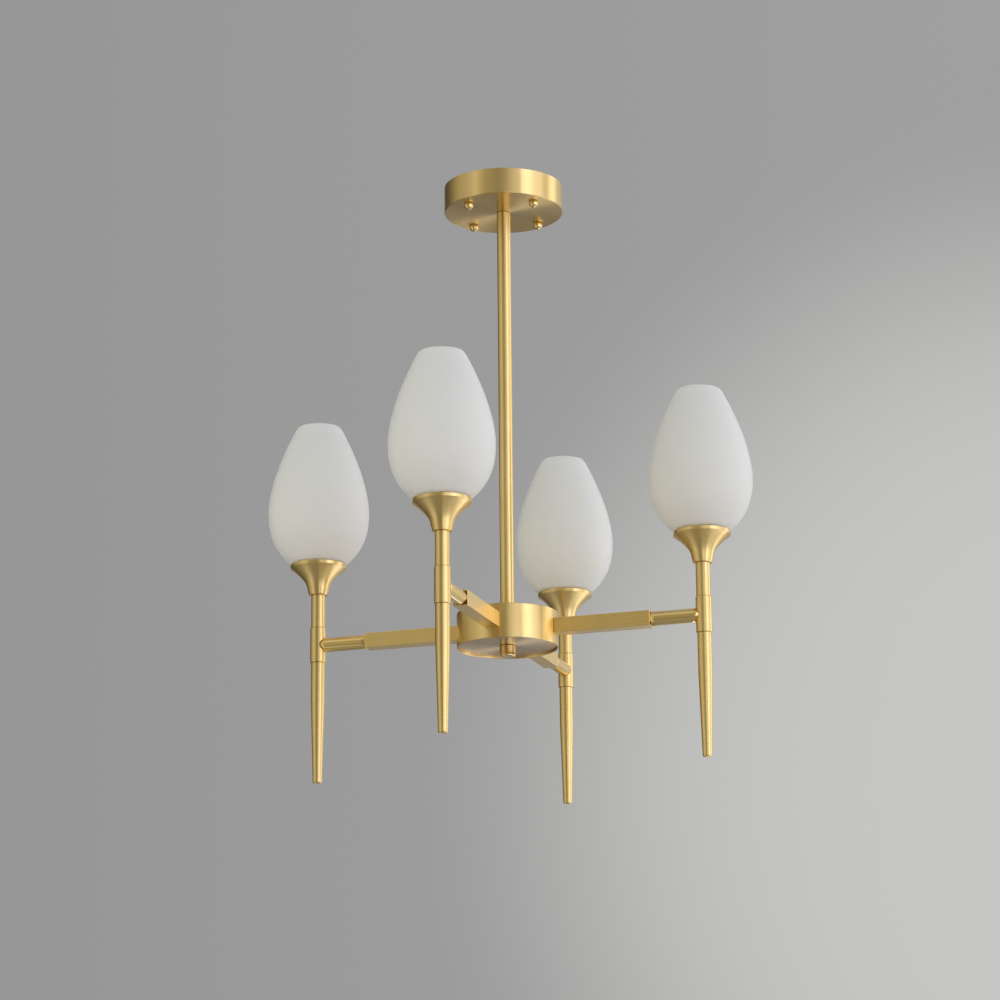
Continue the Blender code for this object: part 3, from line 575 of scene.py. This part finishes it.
def swept(name, rings, quarter):
    """Join rings of points along an arm into a closed surface, turned to the arm's quarter.

    rings[i, j] is point j round the arm at station i, in the frame of the arm along +X. The
    middle of the first and of the last ring closes each end. U is the length round the arm and
    V the length along it, in metres.
    """
    stations, count = rings.shape[:2]
    cosine, sine = (1, 0, -1, 0)[quarter], (0, 1, 0, -1)[quarter]
    x, y, z = rings[..., 0], rings[..., 1], rings[..., 2]
    grid = np.stack([x * cosine - y * sine, x * sine + y * cosine, z], -1)
    ends = grid[[0, -1]].mean(1)
    points = np.concatenate([grid.reshape(-1, 3), ends])
    index = np.arange(stations * count).reshape(stations, count)
    ahead = np.roll(index, -1, 1)
    start_middle, end_middle = stations * count, stations * count + 1
    side = np.stack([index[:-1], ahead[:-1], ahead[1:], index[1:]], -1).reshape(-1, 4)
    first = np.stack([np.full(count, start_middle), np.full(count, start_middle), ahead[0], index[0]], -1)
    last = np.stack([np.full(count, end_middle), np.full(count, end_middle), index[-1], ahead[-1]], -1)
    around = np.linalg.norm(np.diff(rings[:, np.arange(count + 1) % count], axis=1), axis=2)
    u = np.concatenate([np.zeros((stations, 1)), np.cumsum(around, 1)], 1)
    v = np.broadcast_to(x.mean(1)[:, None], u.shape)
    uv = np.stack([u, v], -1)
    side_uv = np.stack([uv[:-1, :-1], uv[:-1, 1:], uv[1:, 1:], uv[1:, :-1]], 2).reshape(-1, 4, 2)
    cap_uv = rings[[0, -1]][..., 1:]
    first_uv = np.stack([0 * cap_uv[0], 0 * cap_uv[0], np.roll(cap_uv[0], -1, 0), cap_uv[0]], 1)
    last_uv = np.stack([0 * cap_uv[1], 0 * cap_uv[1], cap_uv[1], np.roll(cap_uv[1], -1, 0)], 1)
    return mesh_object(name, points, np.concatenate([side, first, last]),
                       np.concatenate([side_uv, first_uv, last_uv]))


def square_outline(half, edge):
    """Outline of a square with rounded corners, as (across, up) points in turn."""
    quarter_turn = np.linspace(0, math.pi / 2, SQUARE_STEPS + 1)
    corner = np.stack([half - edge + edge * np.cos(quarter_turn),
                       half - edge + edge * np.sin(quarter_turn)], 1)
    flat = half - edge - EDGE_SUPPORT
    corner = np.concatenate([[(half, flat)], corner, [(flat, half)]])
    turns = [np.array([[math.cos(a), math.sin(a)], [-math.sin(a), math.cos(a)]])
             for a in np.arange(4) * math.pi / 2]
    return np.concatenate([corner @ turn for turn in turns])


def bar_rings(end, half, height):
    """Rings of the square bar: its near end follows the hub's wall, its far end has a rounded edge.

    The near end lies at the square root of R squared minus the square of the distance across. The
    last two rings are the mouth and the floor of the pocket in the far end.
    """
    outline = square_outline(half, BAR_EDGE)
    wall = hub_radius + BAR_HUB_GAP
    near = np.sqrt(wall**2 - outline[:, 0] ** 2)
    bevel = np.linspace(0, math.pi / 2, SQUARE_STEPS + 1)
    inset = BAR_EDGE * (1 - np.cos(bevel))
    far = end - BAR_EDGE + BAR_EDGE * np.sin(bevel)
    pocket = [1 - BAR_WALL / half] * 2
    scale = np.concatenate([[1 - BAR_EDGE / half, 1.0, 1.0, 1.0], 1 - inset / half, pocket])
    run = [near, near + BAR_EDGE / 2, near + BAR_EDGE, np.full(len(outline), end - 2 * BAR_EDGE)]
    run += [np.full(len(outline), x) for x in (*far, end, end - BAR_POCKET)]
    x = np.stack(run)
    across = outline[None, :, 0] * scale[:, None]
    up = outline[None, :, 1] * scale[:, None] + height
    return np.stack([x, across, up], -1)


def tube_rings(start, reach, radius, sleeve, height):
    """Rings of the round tube: its far end is cut to the round wall of the tee sleeve.

    The cut lies at the reach minus the square root of R squared minus the distance across squared.
    """
    turn = np.linspace(0, 2 * math.pi, TUBE_SIDES, endpoint=False)
    across, up = radius * np.cos(turn), radius * np.sin(turn)
    cut = reach - np.sqrt(sleeve**2 - across**2)
    share = np.linspace(0, 1, TUBE_STATIONS)[:, None]
    x = (start + TUBE_EDGE) * (1 - share) + cut * share
    rings = np.stack([x, np.broadcast_to(across, x.shape), np.broadcast_to(up + height, x.shape)], -1)
    lip = rings[:1].copy()
    lip[..., 0] = start
    lip[..., 1:] = (lip[..., 1:] - (0, height)) * (1 - TUBE_EDGE / radius) + (0, height)
    return np.concatenate([lip, rings])


low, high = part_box("arm_bar_1")
bar_end, bar_half, arm_height = high.x, (high.y - low.y) / 2, (high.z + low.z) / 2
low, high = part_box("arm_tube_1")
tube_radius = (high.y - low.y) / 2
low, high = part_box("tee_sleeve_1")
lamp_reach, sleeve_radius = (low.x + high.x) / 2, (high.x - low.x) / 2

for number in QUARTERS:
    bar = swept(f"arm_bar_brushed_{number}", bar_rings(bar_end, bar_half, arm_height), number - 1)
    finish_piece(bar, "fixed_frame", "brushed_brass", drawn_brass, f"arm_bar_{number}")
    rings = tube_rings(bar_end + BAR_HUB_GAP, lamp_reach, tube_radius, sleeve_radius, arm_height)
    tube = swept(f"arm_tube_brushed_{number}", rings, number - 1)
    finish_piece(tube, "fixed_frame", "brushed_brass", tube_brass, f"arm_tube_{number}")
    keep_node(f"arm_nut_{number}", zinc)

# ----------------------------------------------------------------------------------------- stems
# A stem is a tee sleeve with chamfered ends, a neck that rises out of it to the cup, and a long
# spike below it that tapers to a blunt end. The seams between them are fine dark lines.

SLEEVE_EDGE = 0.0005
SLEEVE_WALL = 0.0022
SEAM = 0.0003
NECK_WALL = 0.002
NECK_EDGE = 0.0003
SPIKE_STRAIGHT = 0.038
SPIKE_BEND = 0.03
SPIKE_TIP_EDGE = 0.0012
SPIKE_TIP_RADIUS = 0.0046


for number in QUARTERS:
    low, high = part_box(f"tee_sleeve_{number}")
    axis = ((low + high) / 2).xy
    radius = (high.x - low.x) / 2
    sleeve = turned(f"tee_sleeve_turned_{number}", rounded_section([
        (radius - SLEEVE_WALL, high.z, HOLE_EDGE), (radius, high.z, SLEEVE_EDGE),
        (radius, low.z, SLEEVE_EDGE), (radius - SLEEVE_WALL, low.z, HOLE_EDGE),
    ], closed=True), axis, closed=True, sides=SLIM_SIDES)
    finish_piece(sleeve, "fixed_frame", "brushed_brass", turned_brass, f"tee_sleeve_{number}")

    sleeve_top, sleeve_bottom = high.z, low.z
    low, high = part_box(f"neck_tube_{number}")
    radius = (high.x - low.x) / 2
    neck = turned(f"neck_tube_turned_{number}", rounded_section([
        (radius, high.z, NECK_EDGE), (radius, sleeve_top + SEAM, NECK_EDGE),
        (radius - NECK_WALL, sleeve_top + SEAM, HOLE_EDGE), (radius - NECK_WALL, high.z, HOLE_EDGE),
    ], closed=True), axis, closed=True, sides=SLIM_SIDES)
    finish_piece(neck, "fixed_frame", "brushed_brass", turned_brass, f"neck_tube_{number}")

    low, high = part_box(f"spike_{number}")
    radius = (high.x - low.x) / 2
    spike = turned(f"spike_turned_{number}", rounded_section([
        (0.0, sleeve_bottom - SEAM, 0.0), (radius, sleeve_bottom - SEAM, NECK_EDGE),
        (radius, sleeve_bottom - SPIKE_STRAIGHT, SPIKE_BEND),
        (SPIKE_TIP_RADIUS, low.z, SPIKE_TIP_EDGE), (0.0, low.z, 0.0),
    ]), axis, sides=SLIM_SIDES)
    finish_piece(spike, "fixed_frame", "brushed_brass", turned_brass, f"spike_{number}")

# ------------------------------------------------------------------------------------------ cups
# A flared brass cup sits on each neck and takes the foot of the glass. Its rim is a narrow plain
# band, and below that the wall sweeps in to the neck.

CUP_LIP = 0.0036
CUP_WALL = 0.0012
CUP_FOOT_RADIUS = 0.0092
CUP_HOLE = 0.0045
CUP_STEP = 0.0004
CUP_RIM_EDGE = 0.0009
CUP_LIP_EDGE = 0.0003
CUP_FOOT_EDGE = 0.0004
FLARE_POINTS = 28


def flare(radius, height):
    """Outer side of the cup from below its lip to its foot: a cubic Bezier curve, as (radius, depth)."""
    lip = np.array((radius - CUP_STEP, CUP_LIP))
    foot = np.array((CUP_FOOT_RADIUS, height))
    reach = lip - foot
    near_lip = lip - reach * (1.08, 0.57)  # handles of the curve, as shares of the way to the other end
    near_foot = foot + reach * (0.19, 0.33)
    t = np.linspace(0, 1, FLARE_POINTS)[:, None]
    s = 1 - t
    return s**3 * lip + 3 * s**2 * t * near_lip + 3 * s * t**2 * near_foot + t**3 * foot


def cup_section(radius, low, high):
    """Lip, flare and foot outside, then the same line moved in by the wall."""
    outside = flare(radius, high - low)
    along = np.gradient(outside, axis=0)
    along /= np.linalg.norm(along, axis=1)[:, None]
    inside = outside + np.stack([-along[:, 1], along[:, 0]], 1) * CUP_WALL
    inside = inside[(inside[:, 1] < high - low - CUP_WALL) & (inside[:, 1] > CUP_LIP)]
    lip = rounded_section([
        (radius - CUP_WALL, -CUP_LIP - CUP_STEP, 0), (radius - CUP_WALL, 0.0, CUT_EDGE),
        (radius, 0.0, CUP_RIM_EDGE), (radius, -CUP_LIP, CUP_LIP_EDGE), (*(outside[1] * (1, -1)), 0),
    ])
    foot = rounded_section([
        (*(outside[-2] * (1, -1)), 0), (CUP_FOOT_RADIUS, low - high, CUP_FOOT_EDGE),
        (CUP_HOLE, low - high, HOLE_EDGE), (CUP_HOLE, low - high + CUP_WALL, HOLE_EDGE),
        (inside[-1][0], low - high + CUP_WALL, 0),
    ])
    section = np.concatenate([lip[:-1], outside[1:-2] * (1, -1), foot, inside[::-1] * (1, -1)])
    return section + (0, high)


for number in QUARTERS:
    low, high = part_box(f"cup_{number}")
    axis = ((low + high) / 2).xy
    section = cup_section((high.x - low.x) / 2, low.z, high.z)
    cup = turned(f"cup_spun_{number}", section, axis, closed=True)
    finish_piece(cup, "fixed_frame", "brushed_brass", turned_brass, f"cup_{number}")

# ------------------------------------------------------------------------------- lampholders
# Each cup holds a ceramic lampholder. Its threaded sleeve stands up through the glass, and a
# zinc-plated ring on the thread clamps the glass on the holder's flange.

CERAMIC_COLOUR = (0.80, 0.78, 0.72)
CERAMIC_SPECK = (0.66, 0.63, 0.56)
SPECKS_PER_METRE = 1800.0
SPECK_BUMP = 0.2


def make_ceramic():
    """Unglazed steatite: matt, with a fine speckle."""
    material, finish, shader = new_finish("ceramic")
    specks = finish.noise(finish.place(), SPECKS_PER_METRE)
    finish.fill(shader, {
        "Base Color": finish.mix(finish.spread(specks, 0.3, 0.5, 0.0, 1.0), CERAMIC_SPECK, CERAMIC_COLOUR),
        "Roughness": finish.spread(specks, 0.3, 0.7, 0.45, 0.6),
        "Normal": finish.bump(specks, SPECK_BUMP, FINE_GRAIN_DEPTH),
    })
    return material


ceramic = make_ceramic()
for number in QUARTERS:
    keep_node(f"lampholder_{number}", ceramic)
    keep_node(f"clamp_ring_{number}", zinc)

# ---------------------------------------------------------------------------------------- glass
# The shades are blown opal glass, satin etched outside and open at the top, with a half-round,
# fire-polished rim. Their wall is the same all over, and a painted highlight whitens it where it is seen
# edge on.

OPAL_COLOUR = (0.895, 0.915, 0.865)
OPAL_WARM = (0.895, 0.905, 0.85)
OPAL_PAINTED_HIGHLIGHT = (0.985, 0.99, 0.975)  # painted highlight where the wall is seen edge on
SHADE_WALL = 0.0028
SHADE_FOOT_RADIUS = 0.019
SHADE_HOLE_RADIUS = 0.0125
SHADE_TOP_RADIUS = 0.0222
SHADE_BELLY_HEIGHT = 0.0555
SHADE_DEPTH_IN_CUP = 0.0034
SHADE_POINTS = 36
SHADE_SIDES = 128
RIM_POINTS = 12
SHOULDER_POWER = 1.62
BOWL_RADIUS_POWER = 1.6
BOWL_HEIGHT_POWER = 0.8
FOOT_INSET_SHARE = 0.4
OPAL_RIPPLES_PER_METRE = 60.0
OPAL_GRAIN_PER_METRE = 1500.0
OPAL_BUMP = 0.05
OPAL_GLOSS = 0.12
OPAL_SCATTER = (1.0, 0.95, 0.85)
OPAL_SCATTER_DEPTH = 0.006
OPAL_PAINTED_HIGHLIGHT_WIDTH = 0.12


def shade_side(radius, height, inset):
    """One side of the glass from its rim to its foot, as (radius, height above the cup's rim).

    Above the widest ring the wall closes in by a power of the height. Below it the wall is a
    flattened oval: radius by a power of the cosine and height by a power of the sine.
    """
    belly = radius - inset
    top_radius = SHADE_TOP_RADIUS - inset
    low_radius = SHADE_FOOT_RADIUS - inset * FOOT_INSET_SHARE
    floor = inset - SHADE_DEPTH_IN_CUP
    share = np.linspace(1, 0, SHADE_POINTS, endpoint=False)
    upper = np.stack([belly - (belly - top_radius) * share**SHOULDER_POWER,
                      SHADE_BELLY_HEIGHT + (height - SHADE_BELLY_HEIGHT) * share], 1)
    turn = np.linspace(0, math.pi / 2, SHADE_POINTS)
    across = np.cos(turn) ** BOWL_RADIUS_POWER
    down = np.sin(turn) ** BOWL_HEIGHT_POWER
    lower = np.stack([low_radius + (belly - low_radius) * across,
                      SHADE_BELLY_HEIGHT - (SHADE_BELLY_HEIGHT - floor) * down], 1)
    return np.concatenate([upper, lower])


def shade_section(radius, height):
    """Outer side, flat foot with its hole, inner side, and the half-round rim that joins them."""
    outside = shade_side(radius, height, 0.0)
    inside = shade_side(radius, height, SHADE_WALL)[::-1]
    foot = -SHADE_DEPTH_IN_CUP
    hole = np.array([(SHADE_HOLE_RADIUS, foot), (SHADE_HOLE_RADIUS, foot + SHADE_WALL)])
    rim_centre = (outside[0] + inside[-1]) / 2 - (0, SHADE_WALL / 2)
    angle = np.linspace(math.pi, 0, RIM_POINTS)
    rim = rim_centre + SHADE_WALL / 2 * np.stack([np.cos(angle), np.sin(angle)], 1)
    cut = height - SHADE_WALL / 2
    outside, inside = outside[outside[:, 1] < cut], inside[inside[:, 1] < cut]
    return np.concatenate([outside, hole, inside, rim])


def make_opal():
    """Opal glass: a dense white body that lets light through, under a satin surface, with a painted
    highlight where it is seen edge on.
    """
    material, finish, shader = new_finish("opal_glass", ior=1.5, transmission_weight=0.10,
                                          sheen_weight=0.80, sheen_roughness=0.28,
                                          specular_ior_level=OPAL_GLOSS, subsurface_weight=1.0,
                                          subsurface_radius=OPAL_SCATTER,
                                          subsurface_scale=OPAL_SCATTER_DEPTH)
    ripple = finish.noise(finish.place(), OPAL_RIPPLES_PER_METRE)
    grain = finish.noise(finish.place(), OPAL_GRAIN_PER_METRE)
    facing = 1  # output of the node that follows the angle of view alone
    # Painted highlight: the base colour turns whiter where the wall is seen edge on.
    edge = finish.node("ShaderNodeLayerWeight", None, {"Blend": OPAL_PAINTED_HIGHLIGHT_WIDTH}, facing)
    body = finish.mix(finish.spread(ripple, 0.3, 0.7, 0.0, 1.0), OPAL_WARM, OPAL_COLOUR)
    finish.fill(shader, {
        "Base Color": finish.mix(edge, body, OPAL_PAINTED_HIGHLIGHT),
        "Roughness": finish.spread(grain, 0.3, 0.7, 0.38, 0.48),
        "Normal": finish.bump(grain, OPAL_BUMP, FINE_GRAIN_DEPTH),
    })
    return material


opal = make_opal()
for number in QUARTERS:
    low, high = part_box(f"glass_shade_{number}")
    axis = ((low + high) / 2).xy
    cup_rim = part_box(f"cup_{number}")[1].z
    section = shade_section((high.x - low.x) / 2, high.z - cup_rim) + (0, cup_rim)
    shade = turned(f"glass_shade_blown_{number}", section, axis, closed=True, sides=SHADE_SIDES)
    finish_piece(shade, f"shade_{number}", "opal_glass", opal, f"glass_shade_{number}")

# ---------------------------------------------------------------------------------------- bulbs
# Small frosted capsule bulbs stand in the holders. They glow a dim warm white.

BULB_COLOUR = (0.92, 0.86, 0.74)
BULB_FROST = (0.95, 0.91, 0.83)
FROST_PER_METRE = 900.0
BULB_GLOW = (1.0, 0.72, 0.42, 1.0)
BULB_POWER = 2.2


def make_bulb_glass():
    """Frosted glass that glows."""
    material, finish, shader = new_finish("frosted_bulb", emission_color=BULB_GLOW,
                                          emission_strength=BULB_POWER)
    frost = finish.noise(finish.place(), FROST_PER_METRE)
    finish.fill(shader, {
        "Base Color": finish.mix(frost, BULB_COLOUR, BULB_FROST),
        "Roughness": finish.spread(frost, 0.3, 0.7, 0.3, 0.45),
    })
    return material


bulb_glass = make_bulb_glass()
for number in QUARTERS:
    keep_node(f"bulb_{number}", bulb_glass)

# ---------------------------------------------------------------------------------------- studio
# Soft panels stand round the lamp, most of them to its right and some low behind it. The surround
# is a grey that changes round the room, as a room with windows does, and gives the brass its bands.
# A floor lies well below.

FLOOR_HEIGHT = -2.3
FLOOR_RADIUS = 5.5
FLOOR_FADE_START = 2.5
FLOOR_SIDES = 64
FLOOR_COLOUR = (0.42, 0.42, 0.41, 1.0)
OVERHEAD_GREY = (0.42, 0.42, 0.42)
GREY_BELOW = (0.05, 0.05, 0.05)
TOWARDS_EYE = HEADING + math.pi
# Grey of the surround by the angle from the eye's side of the room, in degrees to the right, and
# how warm it is: 1 is the glow of a wooden room, 0 is neutral and -1 is a pale sky.
SURROUND = (
    (-180, 0.33, 0), (-168, 0.30, 0), (-150, 0.06, 1), (-126, 0.17, 1), (-110, 0.36, 1), (-95, 0.52, 0.8),
    (-75, 0.57, 0.5), (-55, 0.64, 0.5), (-46, 0.54, 0.8), (-36, 0.36, 1), (-8, 0.24, 1), (4, 0.30, 0.8),
    (13, 0.56, 0), (25, 0.80, -0.5), (40, 1.00, -1), (60, 1.00, -1), (75, 0.95, -0.5), (90, 0.88, 0),
    (105, 0.88, 0), (120, 0.80, 0), (135, 0.74, 0), (147, 0.60, 0), (160, 0.41, 0), (171, 0.35, 0),
    (180, 0.33, 0),
)
WARM_GREEN = 0.05
WARM_BLUE = 0.30
# A soft pool of light on the surround, behind the lamp and to the right.
POOL_ANGLE = 170.0
POOL_RISE = 10.0
POOL_SPREAD = 12.0
POOL_COLOUR = (0.215, 0.22, 0.20)
WHITE, COOL = (1.0, 1.0, 1.0), (0.97, 1.0, 1.15)
# A panel for the glass is seen in no reflection, and one for the brass is seen only in reflections.
PANELS = (
    # name, angle from the eye's side, height angle, distance, width, height, radiance, tint, lights
    ("right_front", 46, 0, 2.6, 1.00, 4.0, 0.60, WHITE, "all"),
    ("right_wide", 57, 0, 2.6, 2.30, 4.0, 0.46, COOL, "brass"),
    ("right_back", 110, 0, 2.6, 1.00, 4.0, 0.45, WHITE, "all"),
    ("right_edge", 108, 0, 2.6, 0.90, 4.0, 0.42, COOL, "brass"),
    ("left_front", -60, 0, 2.6, 1.00, 4.0, 0.10, COOL, "brass"),
    ("high_front", -30, 42, 2.4, 2.40, 1.0, 0.25, COOL, "brass"),
    ("low_strip", 13, -14, 1.3, 0.56, 0.9, 1.00, COOL, "brass"),
    ("low_left", -75, -40, 2.4, 1.30, 1.5, 0.50, COOL, "brass"),
    ("low_right_back", 140, -46, 2.2, 1.00, 1.1, 1.60, COOL, "brass"),
    ("low_back", 167, -34, 2.4, 0.44, 1.0, 0.95, COOL, "brass"),
    ("fill", -54, 0, 2.6, 2.80, 4.0, 0.80, (0.96, 1.0, 1.05), "glass"),
    ("fill_right", 75, 0, 2.6, 1.60, 4.0, 0.50, (1.0, 1.0, 0.75), "glass"),
)


def make_surround():
    """World whose grey depends on the compass direction, and a little on the height."""
    world = bpy.data.worlds.new("studio_surround")
    bpy.context.scene.world = world
    finish = Finish(world)
    background = finish.tree.nodes["Background"]
    direction = finish.node("ShaderNodeTexCoord", output="Generated")
    split = finish.node("ShaderNodeSeparateXYZ", None, {"Vector": direction})
    east, north, up = (Value(finish, split.socket.node.outputs[axis]) for axis in "XYZ")
    compass = north.math("ARCTAN2", east)
    half_turns = 5 * math.pi  # one to start behind the lamp, and four to stay above zero
    turn = ((compass - TOWARDS_EYE + half_turns) * (0.5 / math.pi)).math("FRACT")
    stops = []
    for angle, grey, warmth in SURROUND:
        colour = (grey, grey * (1 - WARM_GREEN * warmth), grey * (1 - WARM_BLUE * warmth))
        stops.append(((angle + 180) / 360, colour))
    around = finish.node("ShaderNodeValToRGB", {"stops": stops}, {"Fac": turn})
    overhead = finish.mix(finish.spread(up, 0.45, 0.9, 0.0, 1.0), around, OVERHEAD_GREY)
    below = finish.mix(finish.spread(up, -0.6, -0.08, 0.45, 0.0), overhead, GREY_BELOW)
    compass, rise = TOWARDS_EYE + math.radians(POOL_ANGLE), math.radians(POOL_RISE)
    centre = (math.cos(compass) * math.cos(rise), math.sin(compass) * math.cos(rise), math.sin(rise))
    nearness = finish.node("ShaderNodeVectorMath", {"operation": "DOT_PRODUCT"},
                           {0: direction, 1: centre}, "Value")
    pool = finish.node("ShaderNodeMapRange", {"interpolation_type": "SMOOTHERSTEP"}, {
        "Value": nearness, "From Min": math.cos(math.radians(POOL_SPREAD)), "From Max": 1.0,
        "To Min": 0.0, "To Max": 1.0})
    lit = finish.node("ShaderNodeMix", {"data_type": "RGBA", "blend_type": "ADD"},
                      {0: pool, 6: below, 7: (*POOL_COLOUR, 1.0)}, 2)
    finish.fill(background, {"Color": lit, "Strength": 1.0})


def add_panel(name, angle, rise, distance, width, height, radiance, tint, lights):
    """Soft light that faces the lamp. Its power is radiance times pi times its area."""
    compass, rise = TOWARDS_EYE + math.radians(angle), math.radians(rise)
    middle = (cad_box[0] + cad_box[1]) / 2
    level = math.cos(rise)
    direction = Vector((math.cos(compass) * level, math.sin(compass) * level, math.sin(rise)))
    data = bpy.data.lights.new(name, "AREA")
    data.shape = "RECTANGLE"
    data.size = width
    data.size_y = height
    data.energy = radiance * math.pi * width * height
    data.color = tint
    light = bpy.data.objects.new(name, data)
    light.location = middle + direction * distance
    light.rotation_euler = direction.to_track_quat("Z", "Y").to_euler()
    light.visible_camera = False
    light.visible_glossy = lights != "glass"
    light.visible_diffuse = lights != "brass"
    bpy.context.scene.collection.objects.link(light)


def add_floor():
    """Round grey floor whose edge fades into the surround."""
    turn = np.linspace(0, 2 * math.pi, FLOOR_SIDES, endpoint=False)
    height = np.full(FLOOR_SIDES, FLOOR_HEIGHT)
    points = np.stack([FLOOR_RADIUS * np.cos(turn), FLOOR_RADIUS * np.sin(turn), height], 1)
    mesh = bpy.data.meshes.new("floor")
    mesh.from_pydata(points.tolist(), [], [list(range(FLOOR_SIDES))])
    floor = bpy.data.objects.new("floor", mesh)
    bpy.context.scene.collection.objects.link(floor)
    material, finish, shader = new_finish("pale_floor", roughness=0.8, base_color=FLOOR_COLOUR)
    distance = finish.node("ShaderNodeVectorMath", {"operation": "LENGTH"}, {0: finish.place()}, "Value")
    finish.fill(shader, {"Alpha": finish.spread(distance, FLOOR_FADE_START, FLOOR_RADIUS, 1.0, 0.0)})
    mesh.materials.append(material)


make_surround()
for panel in PANELS:
    add_panel(*panel)
add_floor()
bpy.context.scene.view_settings.view_transform = "Standard"
